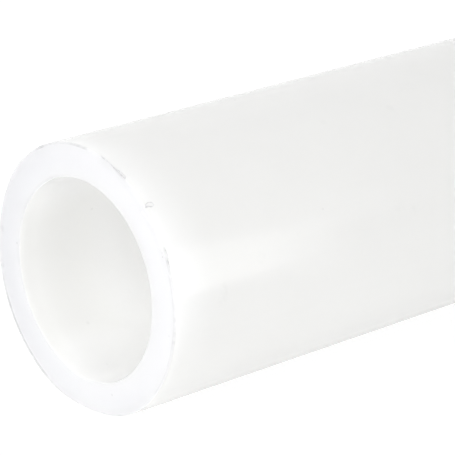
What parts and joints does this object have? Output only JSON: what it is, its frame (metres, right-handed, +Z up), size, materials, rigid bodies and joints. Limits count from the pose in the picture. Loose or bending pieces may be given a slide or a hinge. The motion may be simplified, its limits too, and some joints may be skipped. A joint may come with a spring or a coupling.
{
  "type": "hollow nylon bar",
  "caption": "Straight length of thick-walled round nylon tube, sawn square at both ends, for turning bushes, rollers, sleeves and spacers.",
  "frame": {"origin": "under the middle of the bar, on the line of its underside that it rests on", "axes": "+X along the bar's axis, +Z up, with the bar lying on its side"},
  "size_m": [0.3048, 0.0508, 0.0508],
  "materials": {
    "natural_nylon": "natural off-white translucent nylon, satin as extruded outside and in the bore, with finely sawn ends"
  },
  "bodies": {
    "root": {"hollow_bar": "natural_nylon"}
  },
  "joints": []
}
